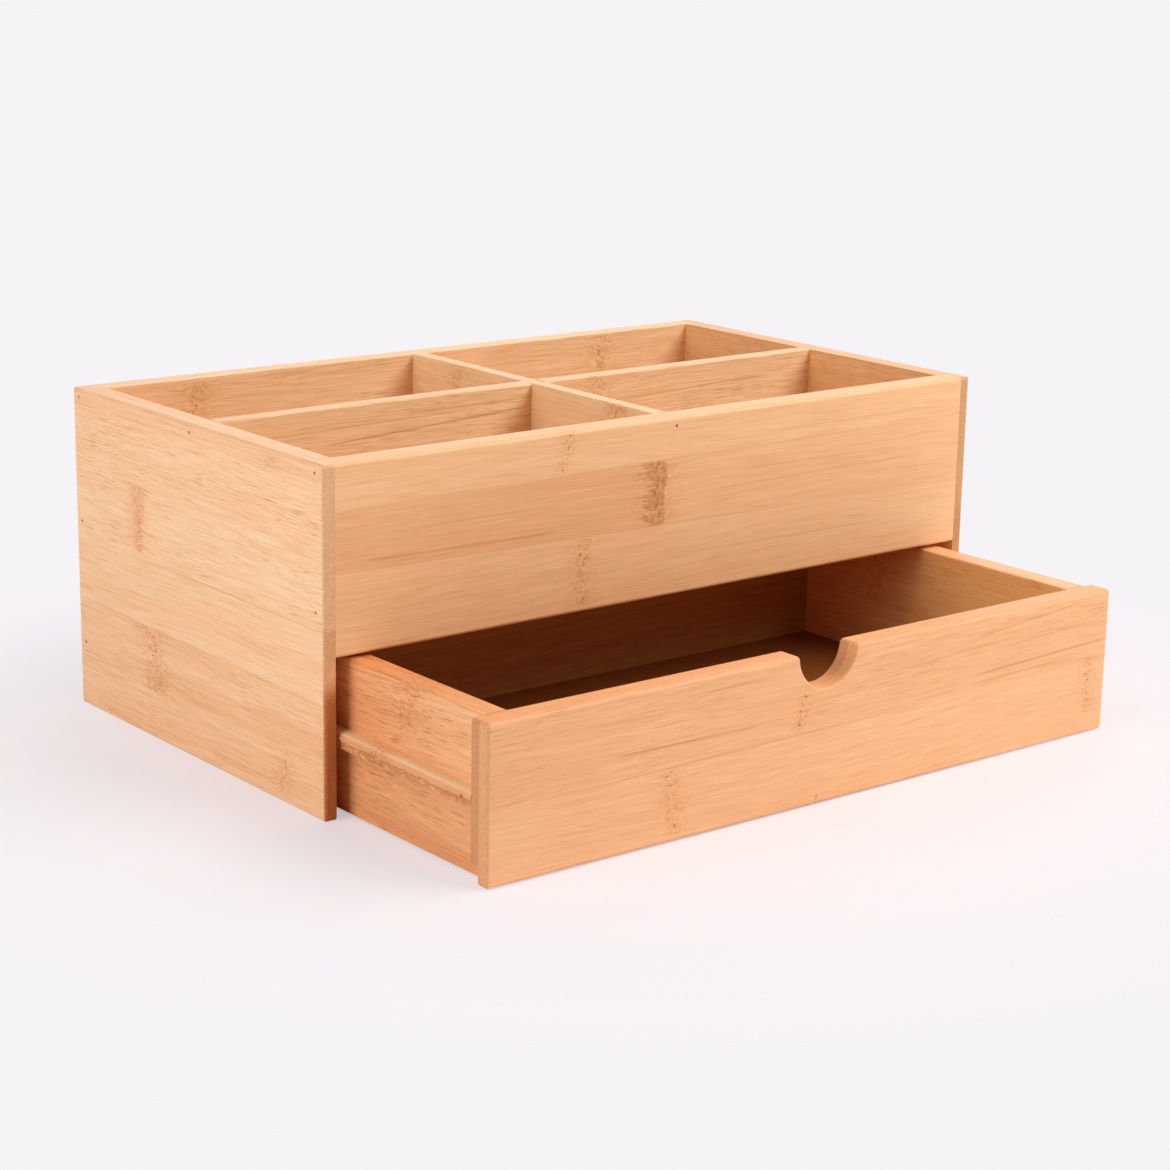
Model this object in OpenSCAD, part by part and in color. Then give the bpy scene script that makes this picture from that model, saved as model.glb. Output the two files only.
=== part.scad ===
// Bamboo storage box: four open compartments above one full-width drawer.
// Millimetres, +Z up, front towards -Y. The origin is the middle of the footprint, on the table.
// The drawer is drawn standing open; it slides along Y on two runners in grooved side panels.

/* [Case] */
// Outside width of the case
case_width = 320; // [280:1:360]
// Outside depth of the case
case_depth = 180; // [150:1:220]
// Outside height of the case
case_height = 130; // [120:1:150]
// Thickness of one bamboo ply; a case board is two plies thick
ply_thickness = 5; // [4.5:0.1:6]
// Height of the fixed panel above the drawer
front_panel_height = 70; // [62:1:78]
// Thickness of the floor under the compartments
floor_thickness = 5; // [3:0.1:7]
// Rise of the floor above the lower edge of the fixed front panel
floor_rise = 4; // [3:0.1:10]
// Thickness of the two crossing dividers
divider_thickness = 7; // [5:0.1:10]
// Side clearance of the floor in its groove and of the dividers in their crossing slots
groove_clearance = 0.1; // [0.05:0.01:0.3]
// Radius of the eased outer arrises of the case
case_arris_radius = 1.5; // [0.5:0.1:2.5]
// Radius of the arrises on the inner side of the case boards
inner_arris_radius = 0.5; // [0.2:0.1:1.5]
// Radius of the eased top arrises of the dividers
divider_arris_radius = 0.8; // [0.3:0.1:2]

/* [Drawer] */
// How far the drawer stands open
drawer_opening = 88; // [20:1:110]
// Gap between each end of the drawer front and the case
front_end_gap = 1.5; // [0.8:0.1:3]
// Gap between the drawer front and the fixed panel above it
front_top_gap = 1.5; // [0.8:0.1:3]
// Gap between the drawer front and the table
front_bottom_gap = 0.5; // [0.3:0.1:2]
// Room left behind the drawer front when it is pushed home
front_stop_gap = 0.5; // [0.3:0.1:1]
// Radius of the half-round finger notch
notch_radius = 14.2; // [10:0.1:20]
// Radius of the eased arrises of the drawer front
front_arris_radius = 1.5; // [0.5:0.1:2]
// Thickness of the drawer's sides and back
drawer_board_thickness = 10; // [8:0.5:12]
// Radius of the eased top arrises of the drawer's sides and back
drawer_arris_radius = 0.8; // [0.3:0.1:2]
// Gap between each drawer side and the case
drawer_side_gap = 1.5; // [1:0.1:3]
// Room behind the closed drawer
drawer_rear_gap = 2; // [1:0.5:6]
// Thickness of the drawer bottom
bottom_thickness = 6.5; // [4:0.1:8]
// Rise of the drawer bottom above the lower edge of the drawer front
bottom_rise = 0.5; // [0.2:0.1:1]
// Gap left above the drawer bottom in the rebate of the drawer front
rebate_gap = 0.8; // [0.3:0.1:3]

/* [Runners] */
// Width of each runner, out from the drawer side
runner_width = 5; // [4:0.1:6]
// Height of each runner
runner_height = 6; // [4:0.1:9]
// Height of the runners' underside above the table
runner_level = 26.5; // [22:0.5:32]
// Clearance all round a runner in its groove
runner_clearance = 0.5; // [0.3:0.05:0.6]
// Radius of the eased outer arrises of the runners
runner_arris_radius = 0.6; // [0.2:0.1:1]

/* [Pins and dowels] */
// Diameter of the pin nails
pin_diameter = 1.2; // [0.8:0.1:1.6]
// Length of the pin nails that join the boards
pin_length = 20; // [16:1:25]
// Length of the pin nails that hold the runners
runner_pin_length = 11; // [9:0.5:13]
// Length of a pin nail's point
pin_point_length = 2; // [1:0.1:3]
// Depth of a pin nail's end below the surface
pin_set_depth = 0.4; // [0.2:0.1:1]
// Clearance all round a pin nail or a dowel in its hole
hole_clearance = 0.02; // [0.01:0.01:0.05]
// Distance of the top pin nails from the top edge
pin_edge_distance = 3.5; // [3:0.1:8]
// Distance of the middle pin nails above the floor of the compartments
pin_floor_distance = 7.5; // [4:0.5:12]
// Distance of the lowest pin nails above the table
pin_foot_distance = 26.5; // [12:0.5:40]
// Diameter of the dowels between drawer front and sides
dowel_diameter = 5; // [4:0.5:6]
// Length of those dowels
dowel_length = 16; // [12:1:20]
// Depth of those dowels in the drawer front
dowel_front_depth = 5.5; // [4:0.5:7]
// Room left past each end of a dowel
dowel_end_room = 0.5; // [0.2:0.1:1]
// Distance of the dowels from the drawer sides' lower and upper edges
dowel_edge_distance = 10; // [6:0.5:12]
// Distance of the first runner pin behind the drawer front
runner_pin_offset = 5; // [3:0.5:12]

/* [Hidden] */
$fn = 48;
overrun = 1;
plies_per_board = 2;
board_thickness = plies_per_board * ply_thickness;

// Case
half_width = case_width / 2;
case_front = (drawer_opening - case_depth) / 2;
case_rear = case_front + case_depth;
inner_half_width = half_width - board_thickness;
lip_half_width = half_width - ply_thickness;
inner_front = case_front + board_thickness;
inner_rear = case_rear - board_thickness;
inner_depth = inner_rear - inner_front;
inner_middle = (inner_front + inner_rear) / 2;
front_panel_level = case_height - front_panel_height;
floor_level = front_panel_level + floor_rise;
floor_top = floor_level + floor_thickness;
divider_height = case_height - floor_top;
slot_width = divider_thickness + 2 * groove_clearance;

// Drawer, from the front face of the drawer front
drawer_front_face = case_front - drawer_opening;
front_half_width = lip_half_width - front_end_gap;
front_level = front_bottom_gap;
front_top = front_panel_level - front_top_gap;
front_height = front_top - front_level;
front_thickness = board_thickness - front_stop_gap;
front_rear_ply = front_thickness - ply_thickness;
front_rear_face = drawer_front_face + front_thickness;
box_half_width = inner_half_width - drawer_side_gap;
box_inner_half_width = box_half_width - drawer_board_thickness;
box_rear = drawer_front_face + case_depth - board_thickness - drawer_rear_gap;
box_length = box_rear - front_rear_face;
bottom_level = front_level + bottom_rise;
side_level = bottom_level + bottom_thickness;
side_height = front_top - side_level;
rebate_height = bottom_rise + bottom_thickness + rebate_gap;

// Runners and their grooves
runner_half_width = box_half_width + runner_width;
groove_half_width = runner_half_width + runner_clearance;
groove_level = runner_level - runner_clearance;
groove_height = runner_height + 2 * runner_clearance;
runner_middle = runner_level + runner_height / 2;

// Places of the pins and dowels
top_pin_level = case_height - pin_edge_distance;
middle_pin_level = floor_top + pin_floor_distance;
front_pin_levels = [top_pin_level, middle_pin_level];
rear_pin_levels = [top_pin_level, middle_pin_level, pin_foot_distance];
front_pin_place = case_front + ply_thickness;
rear_pin_place = case_rear - ply_thickness;
back_pin_shares = [0.2, 0.8];
back_pin_levels = [for (share = back_pin_shares) side_level + share * side_height];
back_middle = box_rear - drawer_board_thickness / 2;
side_middle = box_half_width - drawer_board_thickness / 2;
bottom_pin_shares = [0.3, 0.55, 0.8];
bottom_pin_places = [for (share = bottom_pin_shares) front_rear_face + share * box_length];
back_bottom_pin_shares = [-0.6, 0, 0.6];
back_bottom_pin_places = [for (share = back_bottom_pin_shares) share * box_inner_half_width];
dowel_levels = [side_level + dowel_edge_distance, front_top - dowel_edge_distance];
runner_pin_places = [front_rear_face + runner_pin_offset, (front_rear_face + box_rear) / 2,
                     box_rear - drawer_board_thickness - runner_pin_offset];

outer_bamboo = [0.93, 0.75, 0.56];
divider_bamboo = [0.86, 0.66, 0.46];
drawer_bamboo = [0.9, 0.7, 0.5];
runner_bamboo = [0.72, 0.5, 0.3];
pin_steel = [0.45, 0.44, 0.42];
dowel_beech = [0.8, 0.64, 0.46];

// Outlines

// A rectangle with all four corners rounded, its lower left corner at the origin
module rounded_outline(width, height, radius) {
  translate([radius, 0]) square([width - 2 * radius, height]);
  translate([0, radius]) square([width, height - 2 * radius]);
  for (across = [radius, width - radius])
    for (up = [radius, height - radius])
      translate([across, up]) circle(r = radius);
}

// A case board's outline, its outer face on the left: the corners are rounder there
module case_board_outline(width, height) {
  translate([case_arris_radius, 0])
    square([width - case_arris_radius - inner_arris_radius, height]);
  translate([0, case_arris_radius]) square([width / 2, height - 2 * case_arris_radius]);
  translate([width / 2, inner_arris_radius]) square([width / 2, height - 2 * inner_arris_radius]);
  for (up = [case_arris_radius, height - case_arris_radius])
    translate([case_arris_radius, up]) circle(r = case_arris_radius);
  for (up = [inner_arris_radius, height - inner_arris_radius])
    translate([width - inner_arris_radius, up]) circle(r = inner_arris_radius);
}

// A rectangle with only the two upper corners rounded
module round_topped_outline(width, height, radius) {
  square([width, height - radius]);
  translate([radius, 0]) square([width - 2 * radius, height]);
  for (across = [radius, width - radius])
    translate([across, height - radius]) circle(r = radius);
}

// Bars, drawn from their left, front, lower corner

// A bar along X with the outline drawn in Y and Z
module bar_along_x(length) {
  rotate([90, 0, 90]) linear_extrude(height = length) children();
}

// A bar along Y with the outline drawn in X and Z
module bar_along_y(length) {
  translate([0, length, 0]) rotate([90, 0, 0]) linear_extrude(height = length) children();
}

// A board with all twelve arrises eased
module eased_board(size_x, size_y, size_z, radius) {
  intersection() {
    linear_extrude(height = size_z) rounded_outline(size_x, size_y, radius);
    bar_along_y(size_y) rounded_outline(size_x, size_z, radius);
    bar_along_x(size_x) rounded_outline(size_y, size_z, radius);
  }
}

// Pins, dowels and where they go

// A pin nail along +X, its blunt end set below the surface at the origin
module pin(length) {
  rotate([0, 90, 0]) {
    translate([0, 0, pin_set_depth])
      cylinder(h = length - pin_point_length, d = pin_diameter);
    translate([0, 0, pin_set_depth + length - pin_point_length])
      cylinder(h = pin_point_length, d1 = pin_diameter, d2 = 0);
  }
}

// The hole for that pin, run out past the surface
module pin_hole(length) {
  translate([-overrun, 0, 0]) rotate([0, 90, 0])
    cylinder(h = overrun + pin_set_depth + length, d = pin_diameter + 2 * hole_clearance);
}

// A dowel along Y between the drawer front and a drawer side
module dowel() {
  translate([0, dowel_length - dowel_front_depth, 0]) rotate([90, 0, 0])
    cylinder(h = dowel_length, d = dowel_diameter);
}

// The hole for that dowel, with room past both ends
module dowel_hole() {
  translate([0, dowel_length - dowel_front_depth + dowel_end_room, 0]) rotate([90, 0, 0])
    cylinder(h = dowel_length + 2 * dowel_end_room, d = dowel_diameter + 2 * hole_clearance);
}

// Draws its children on the left and mirrored on the right
module on_both_sides() {
  children();
  mirror([1, 0, 0]) children();
}

// Places of the pins through the left side panel's front edge
module at_front_corner() {
  for (level = front_pin_levels)
    translate([-half_width, front_pin_place, level]) children();
}

// Places of the pins through the left side panel's rear edge
module at_rear_corner() {
  for (level = rear_pin_levels)
    translate([-half_width, rear_pin_place, level]) children();
}

// Place of the pin through the left side panel into the lengthwise divider
module at_left_divider_end() {
  translate([-half_width, inner_middle, top_pin_level]) children();
}

// Place of the pin through the fixed front panel into the crosswise divider
module at_front_divider_end() {
  translate([0, case_front, top_pin_level]) rotate([0, 0, 90]) children();
}

// Place of the pin through the back panel into the crosswise divider
module at_rear_divider_end() {
  translate([0, case_rear, top_pin_level]) rotate([0, 0, -90]) children();
}

// Places of the dowels in the left drawer side
module at_left_dowels() {
  for (level = dowel_levels)
    translate([-side_middle, front_rear_face, level]) children();
}

// Places of the pins through the left drawer side into the drawer back
module at_left_back_pins() {
  for (level = back_pin_levels)
    translate([-box_half_width, back_middle, level]) children();
}

// Places of the pins up through the drawer bottom into the left drawer side
module at_left_bottom_pins() {
  for (place = bottom_pin_places)
    translate([-side_middle, place, bottom_level]) rotate([0, -90, 0]) children();
}

// Places of the pins up through the drawer bottom into the drawer back
module at_back_bottom_pins() {
  for (place = back_bottom_pin_places)
    translate([place, back_middle, bottom_level]) rotate([0, -90, 0]) children();
}

// Places of the pins through the left runner into the left drawer side
module at_left_runner_pins() {
  for (place = runner_pin_places)
    translate([-runner_half_width, place, runner_middle]) children();
}

// Case

// The left side panel before its joints are cut
module left_side_blank() {
  intersection() {
    linear_extrude(height = case_height)
      rounded_outline(board_thickness, case_depth, case_arris_radius);
    bar_along_y(case_depth) case_board_outline(board_thickness, case_height);
    bar_along_x(board_thickness) rounded_outline(case_depth, case_height, case_arris_radius);
  }
}

// The left side panel: rebated at both ends, grooved for the floor and for the runner
module left_side_board() {
  difference() {
    translate([-half_width, case_front, 0]) left_side_blank();
    translate([-lip_half_width, case_front - overrun, -overrun])
      cube([board_thickness, board_thickness + overrun, case_height + 2 * overrun]);
    translate([-lip_half_width, inner_rear, -overrun])
      cube([board_thickness, board_thickness + overrun, case_height + 2 * overrun]);
    floor_groove();
    translate([-groove_half_width, inner_front - overrun, groove_level])
      cube([board_thickness, inner_depth + 2 * overrun, groove_height]);
    at_front_corner() pin_hole(pin_length);
    at_rear_corner() pin_hole(pin_length);
    at_left_divider_end() pin_hole(pin_length);
  }
}

// The space that the floor's groove takes out of the four panels round it
module floor_groove() {
  translate([-lip_half_width, case_front + ply_thickness, floor_level - groove_clearance])
    cube([2 * lip_half_width, case_depth - 2 * ply_thickness, floor_thickness + 2 * groove_clearance]);
}

module left_side_panel() {
  color(outer_bamboo) left_side_board();
}

module right_side_panel() {
  color(outer_bamboo) mirror([1, 0, 0]) left_side_board();
}

module upper_front_panel() {
  color(outer_bamboo) difference() {
    translate([-lip_half_width, case_front, front_panel_level]) bar_along_x(2 * lip_half_width)
      case_board_outline(board_thickness, front_panel_height);
    floor_groove();
    on_both_sides() at_front_corner() pin_hole(pin_length);
    at_front_divider_end() pin_hole(pin_length);
  }
}

module back_panel() {
  color(outer_bamboo) difference() {
    translate([lip_half_width, case_rear, 0]) rotate([0, 0, 180]) bar_along_x(2 * lip_half_width)
      case_board_outline(board_thickness, case_height);
    floor_groove();
    on_both_sides() at_rear_corner() pin_hole(pin_length);
    at_rear_divider_end() pin_hole(pin_length);
  }
}

module compartment_floor() {
  color(divider_bamboo)
    translate([-lip_half_width, case_front + ply_thickness, floor_level])
      cube([2 * lip_half_width, case_depth - 2 * ply_thickness, floor_thickness]);
}

// The left-to-right divider, slotted from above for the other one
module lengthwise_divider() {
  color(divider_bamboo) difference() {
    translate([-inner_half_width, inner_middle - divider_thickness / 2, floor_top])
      bar_along_x(2 * inner_half_width)
        round_topped_outline(divider_thickness, divider_height, divider_arris_radius);
    translate([-slot_width / 2, inner_middle - divider_thickness, floor_top + divider_height / 2])
      cube([slot_width, 2 * divider_thickness, divider_height]);
    on_both_sides() at_left_divider_end() pin_hole(pin_length);
  }
}

// The front-to-back divider, slotted from below for the other one
module crosswise_divider() {
  color(divider_bamboo) difference() {
    translate([-divider_thickness / 2, inner_front, floor_top]) bar_along_y(inner_depth)
      round_topped_outline(divider_thickness, divider_height, divider_arris_radius);
    translate([-divider_thickness, inner_middle - slot_width / 2, floor_top - divider_height / 2])
      cube([2 * divider_thickness, slot_width, divider_height]);
    at_front_divider_end() pin_hole(pin_length);
    at_rear_divider_end() pin_hole(pin_length);
  }
}

module front_corner_pins() {
  color(pin_steel) on_both_sides() at_front_corner() pin(pin_length);
}

module rear_corner_pins() {
  color(pin_steel) on_both_sides() at_rear_corner() pin(pin_length);
}

module divider_pins() {
  color(pin_steel) {
    on_both_sides() at_left_divider_end() pin(pin_length);
    at_front_divider_end() pin(pin_length);
    at_rear_divider_end() pin(pin_length);
  }
}

// Drawer

module drawer_front() {
  color(outer_bamboo) difference() {
    translate([-front_half_width, drawer_front_face, front_level])
      eased_board(2 * front_half_width, front_thickness, front_height, front_arris_radius);
    translate([0, front_rear_face + overrun, front_top]) rotate([90, 0, 0])
      cylinder(h = front_thickness + 2 * overrun, r = notch_radius);
    translate([-half_width, front_rear_face - front_rear_ply, front_level - overrun])
      cube([case_width, front_rear_ply + overrun, rebate_height + overrun]);
    on_both_sides() at_left_dowels() dowel_hole();
  }
}

// The left drawer side, standing on the drawer bottom behind the drawer front
module left_drawer_board() {
  difference() {
    translate([-box_half_width, front_rear_face, side_level]) bar_along_y(box_length)
      round_topped_outline(drawer_board_thickness, side_height, drawer_arris_radius);
    at_left_dowels() dowel_hole();
    at_left_back_pins() pin_hole(pin_length);
    at_left_bottom_pins() pin_hole(pin_length);
    at_left_runner_pins() pin_hole(runner_pin_length);
  }
}

module drawer_left_side() {
  color(drawer_bamboo) left_drawer_board();
}

module drawer_right_side() {
  color(drawer_bamboo) mirror([1, 0, 0]) left_drawer_board();
}

module drawer_back() {
  color(drawer_bamboo) difference() {
    translate([-box_inner_half_width, box_rear - drawer_board_thickness, side_level])
      bar_along_x(2 * box_inner_half_width)
        round_topped_outline(drawer_board_thickness, side_height, drawer_arris_radius);
    on_both_sides() at_left_back_pins() pin_hole(pin_length);
    at_back_bottom_pins() pin_hole(pin_length);
  }
}

// The drawer bottom, let into the drawer front's rebate
module drawer_bottom() {
  color(drawer_bamboo) difference() {
    translate([-box_half_width, front_rear_face - front_rear_ply, bottom_level])
      cube([2 * box_half_width, box_length + front_rear_ply, bottom_thickness]);
    on_both_sides() at_left_bottom_pins() pin_hole(pin_length);
    at_back_bottom_pins() pin_hole(pin_length);
  }
}

// The left runner, a bar with its two outer arrises eased
module left_runner_bar() {
  difference() {
    translate([-box_half_width, front_rear_face, runner_level]) rotate([0, -90, 0])
      bar_along_y(box_length)
        round_topped_outline(runner_height, runner_width, runner_arris_radius);
    at_left_runner_pins() pin_hole(runner_pin_length);
  }
}

module left_runner() {
  color(runner_bamboo) left_runner_bar();
}

module right_runner() {
  color(runner_bamboo) mirror([1, 0, 0]) left_runner_bar();
}

module drawer_front_dowels() {
  color(dowel_beech) on_both_sides() at_left_dowels() dowel();
}

module drawer_back_pins() {
  color(pin_steel) on_both_sides() at_left_back_pins() pin(pin_length);
}

module drawer_bottom_pins() {
  color(pin_steel) {
    on_both_sides() at_left_bottom_pins() pin(pin_length);
    at_back_bottom_pins() pin(pin_length);
  }
}

module runner_pins() {
  color(pin_steel) on_both_sides() at_left_runner_pins() pin(runner_pin_length);
}

left_side_panel();
right_side_panel();
upper_front_panel();
back_panel();
compartment_floor();
lengthwise_divider();
crosswise_divider();
front_corner_pins();
rear_corner_pins();
divider_pins();
drawer_front();
drawer_left_side();
drawer_right_side();
drawer_back();
drawer_bottom();
left_runner();
right_runner();
drawer_front_dowels();
drawer_back_pins();
drawer_bottom_pins();
runner_pins();
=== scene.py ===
"""Bamboo storage box with four open compartments and one drawer: looks, floor, light and camera.

The scene is in metres in the CAD's frame: X to the right, Y to the back, Z up, the origin on the
table. The bamboo materials and the tables of their marks are in millimetres in the same frame.
"""
import math

import bmesh
import bpy
from mathutils import Matrix, Vector, noise as land


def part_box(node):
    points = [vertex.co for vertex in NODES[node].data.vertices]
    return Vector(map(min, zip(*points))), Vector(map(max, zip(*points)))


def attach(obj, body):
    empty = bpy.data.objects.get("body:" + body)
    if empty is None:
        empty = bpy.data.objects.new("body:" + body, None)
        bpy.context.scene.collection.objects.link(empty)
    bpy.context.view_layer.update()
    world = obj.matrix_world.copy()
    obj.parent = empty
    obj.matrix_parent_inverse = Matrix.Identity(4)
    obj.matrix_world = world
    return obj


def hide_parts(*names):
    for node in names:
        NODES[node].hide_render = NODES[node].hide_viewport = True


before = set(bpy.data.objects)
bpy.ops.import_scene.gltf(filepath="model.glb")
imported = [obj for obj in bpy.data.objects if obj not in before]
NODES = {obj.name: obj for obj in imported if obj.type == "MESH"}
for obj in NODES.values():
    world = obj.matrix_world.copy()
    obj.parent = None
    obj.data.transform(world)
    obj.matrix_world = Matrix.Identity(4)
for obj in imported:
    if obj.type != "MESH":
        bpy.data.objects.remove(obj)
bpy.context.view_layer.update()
MM = 0.001

# Camera: the photograph's frame is 1170 pixels square
FRAME_PX = 1170
FOCAL_PX = 2657.6
SENSOR_MM = 36
CAMERA_PLACE = (-0.64836, -0.79941, 0.32192)
CAMERA_YAW = 0.67657
CAMERA_PITCH = 0.25471
CAMERA_ROLL = 0.018326
CLIP_START, CLIP_END = 0.01, 100


def srgb(red, green, blue):
    """A colour given as it looks on a screen, 0 to 255, as the linear colour that Blender takes."""
    def linear(value):
        share = value / 255
        return share / 12.92 if share <= 0.04045 else ((share + 0.055) / 1.055) ** 2.4
    return (linear(red), linear(green), linear(blue), 1.0)


# Formulas in node trees

class Signal:
    """A number that a node tree works out, so that a formula can be written as one."""

    def __init__(self, tree, socket):
        self.tree = tree
        self.socket = socket

    def _math(self, operation, *others, clamp=False):
        node = self.tree.nodes.new("ShaderNodeMath")
        node.operation = operation
        node.use_clamp = clamp
        for place, value in enumerate((self,) + others):
            plug(self.tree, value, node.inputs[place])
        return Signal(self.tree, node.outputs[0])

    def __add__(self, other):
        return self._math("ADD", other)

    def __sub__(self, other):
        return self._math("SUBTRACT", other)

    def __rsub__(self, other):
        return (self * -1) + other

    def __mul__(self, other):
        return self._math("MULTIPLY", other)

    def __truediv__(self, other):
        return self._math("DIVIDE", other)

    def size(self):
        return self._math("ABSOLUTE")

    def root(self):
        return self._math("SQRT")

    def exponent(self):
        return self._math("EXPONENT")

    def above(self, edge):
        """1 where the number is above the edge, else 0."""
        return self._math("GREATER_THAN", edge)

    def larger(self, other):
        return self._math("MAXIMUM", other)

    def smaller(self, other):
        return self._math("MINIMUM", other)

    def clamp(self):
        return self._math("ADD", 0.0, clamp=True)

    def bell(self, middle, width):
        """1 at the middle, falling off smoothly to both sides over the width."""
        distance = (self - middle) / width
        return (distance * distance * -1).exponent()

    def rise(self, low, high):
        """0 below low, 1 above high, smooth in between."""
        node = self.tree.nodes.new("ShaderNodeMapRange")
        node.interpolation_type = "SMOOTHSTEP"
        plug(self.tree, self, node.inputs["Value"])
        plug(self.tree, low, node.inputs["From Min"])
        plug(self.tree, high, node.inputs["From Max"])
        return Signal(self.tree, node.outputs["Result"])

    def window(self, low, high, soft):
        """1 between low and high, 0 outside, with soft edges."""
        return self.rise(low - soft, low + soft) * (1 - self.rise(high - soft, high + soft))


def plug(tree, value, socket):
    """Links a signal or a node's output to a socket, or sets a plain value on it."""
    if isinstance(value, Signal):
        tree.links.new(value.socket, socket)
    elif isinstance(value, bpy.types.NodeSocket):
        tree.links.new(value, socket)
    else:
        socket.default_value = value


def noise(tree, vector, detail=2.0, roughness=0.5):
    """Smooth noise from 0 to 1, about one wave per unit."""
    node = tree.nodes.new("ShaderNodeTexNoise")
    combine = tree.nodes.new("ShaderNodeCombineXYZ")
    for place, value in enumerate(vector):
        plug(tree, value, combine.inputs[place])
    tree.links.new(combine.outputs[0], node.inputs["Vector"])
    node.inputs["Scale"].default_value = 1.0
    node.inputs["Detail"].default_value = detail
    node.inputs["Roughness"].default_value = roughness
    return Signal(tree, node.outputs["Fac"])


def mix(tree, share, first, second):
    """Mixes two colours."""
    node = tree.nodes.new("ShaderNodeMix")
    node.data_type = "RGBA"
    plug(tree, share, node.inputs[0])
    plug(tree, first, node.inputs[6])
    plug(tree, second, node.inputs[7])
    return node.outputs[2]


def principled(tree):
    """A shader that is linked to the material's output."""
    shader = tree.nodes.new("ShaderNodeBsdfPrincipled")
    output = tree.nodes.new("ShaderNodeOutputMaterial")
    tree.links.new(shader.outputs[0], output.inputs[0])
    return shader


def new_material(name):
    material = bpy.data.materials.new(name)
    material.use_nodes = True
    material.node_tree.nodes.clear()
    return material, material.node_tree


def coordinates(tree, output="Object", scale=1.0):
    """The three signals of a texture coordinate, times the scale."""
    place = tree.nodes.new("ShaderNodeTexCoord")
    split = tree.nodes.new("ShaderNodeSeparateXYZ")
    tree.links.new(place.outputs[output], split.inputs[0])
    return {axis: Signal(tree, split.outputs[axis]) * scale for axis in "XYZ"}


# Bamboo

# How fast red, green and blue fall with the wide changes of tone and with the fine dark marks
TONE_RATES = (0.4, 1.0, 1.6)
STAIN_RATES = (1.0, 1.45, 2.0)
# End grain is this much darker than the face, before each strip's own tone
END_RATES = (0.20, 0.27, 0.35)
BRIGHTEST = 0.95
PALE_BASE = srgb(251, 202, 158)
RIGHT_BASE = srgb(232, 181, 128)
UPPER_FRONT_BASE = srgb(249, 194, 142)
BACK_BASE = srgb(243, 198, 150)
DIVIDER_BASE = srgb(241, 200, 152)
DRAWER_FRONT_BASE = srgb(246, 185, 134)
DRAWER_SIDE_BASE = srgb(236, 166, 112)
DRAWER_RIGHT_BASE = srgb(248, 185, 117)
# Painted shade: the top of the drawer's right side has its own darker colour
DRAWER_RIGHT_PAINTED_TOP = srgb(243, 175, 123)
# Painted shade: the drawer's back is given a dark base for the shade deep inside the drawer
DRAWER_BACK_PAINTED_SHADE = srgb(178, 128, 68)
# Painted shade: the upper face of the drawer's bottom is given a dark colour for the shade inside the drawer
DRAWER_FLOOR_PAINTED_SHADE = srgb(152, 87, 38)
RUNNER_BASE = srgb(231, 167, 114)
# Painted light: the runners' tops are given a lighter colour than their faces
RUNNER_TOP_PAINTED_LIGHT = srgb(249, 188, 137)
GLUE_STAIN = 0.16
# The torn edge on the runners lies below this height
TORN_TOP = 30.7
# Painted shade: how much darker the inner faces are made where only the drawer runs, in the shade inside the
# case
BAY_PAINTED_SHADE = 1.1
# Waves per millimetre along and across the fibres, of each kind of mark
BROAD_WAVES, MEDIUM_WAVES, FINE_WAVES = (0.006, 0.10), (0.016, 0.42), (0.045, 1.5)
PATCH_WAVES, BEND_WAVES, DASH_WAVES = (0.018, 0.07), (0.12, 0.25), (0.10, 1.9)
# How far fibres wander over a strip, curl at knuckles and bend within dashes, in millimetres
WANDER, CURL_REACH, DASH_BEND = 9, 8, 1.1
# How far a knuckle sways, and how much wider than its specks its crinkled fibres and its halo are
KNUCKLE_SWAY, CRINKLE_SPREAD, HALO_SPREAD = 4.5, 3.2, 2.6
KNUCKLE_EDGE = 0.7
# The brown band beside a knuckle: how far its teeth reach, where it begins and where it ends
BAND_TEETH, BAND_START, BAND_STOP = 26, (-7.0, -5.6), (3.4, 4.2)
# How strongly each kind of mark shows: broad bands as tone, the others as stain
BROAD_TONE = 0.24
MEDIUM_STAIN, FINE_STAIN, DASH_STAIN = 0.15, 0.30, 0.20
SPECK_STAIN, CURL_STAIN, BAND_STAIN, MOTTLE_STAIN = 0.50, 0.24, 0.12, 0.20
# Painted shade: how much darker the torn edge's step and the torn face just behind it are made, as shade
# under the overhanging face
TORN_STEP_SHADE = 0.26
# How deep under the outer face the torn edge's painted shade lies: from, to, softness
TORN_SHADE_DEPTHS = (0.15, 0.70, 0.15)
BUNDLE_STAIN = 0.55
# How far marks rise or sink, in millimetres
FIBRE_RISE, DASH_DEPTH, SPECK_DEPTH, CURL_DEPTH = 0.003, 0.006, 0.012, 0.008
END_RISE, SEAM_DEPTH = 0.05, 0.02
# Half the widths of a seam's line and of the glue's line between two plies
SEAM_WIDTH, GLUE_WIDTH = 0.32, 0.18
# Half the lengths over which the ends of a seam and of a streak fade
SEAM_FADE, STREAK_FADE = 25, 6
# A face counts as end grain, or as an upward face, between these parts of its normal
FACING = (0.35, 0.75)


class Strip:
    """One strip's tone, its share of dark dashes and of broad bands, its end's tone, and its lean.

    The lean is tone that is added toward the low end of the board.
    """

    def __init__(self, tone, dashes=0.5, broad=0.5, end=0.05, lean=0.0):
        self.values = (tone, dashes, broad, end, lean)


class Seam:
    """A line between two strips, dark between start and stop along the board, sharp or soft.

    Above the line the strips' end grains blend into each other over twice end_soft millimetres.
    """

    def __init__(self, place, slope=0.0, dark=0.3, start=-400, stop=400, soft=0.25, end_soft=5.0):
        self.place, self.slope, self.dark, self.start, self.stop = place, slope, dark, start, stop
        self.soft, self.end_soft = soft, end_soft


class Streak:
    """A thin dark fibre line from one point of the board's face to another."""

    def __init__(self, start, low, stop, high, dark=0.2, width=0.3):
        self.start, self.low, self.stop, self.high = start, low, stop, high
        self.dark, self.width = dark, width


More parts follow.
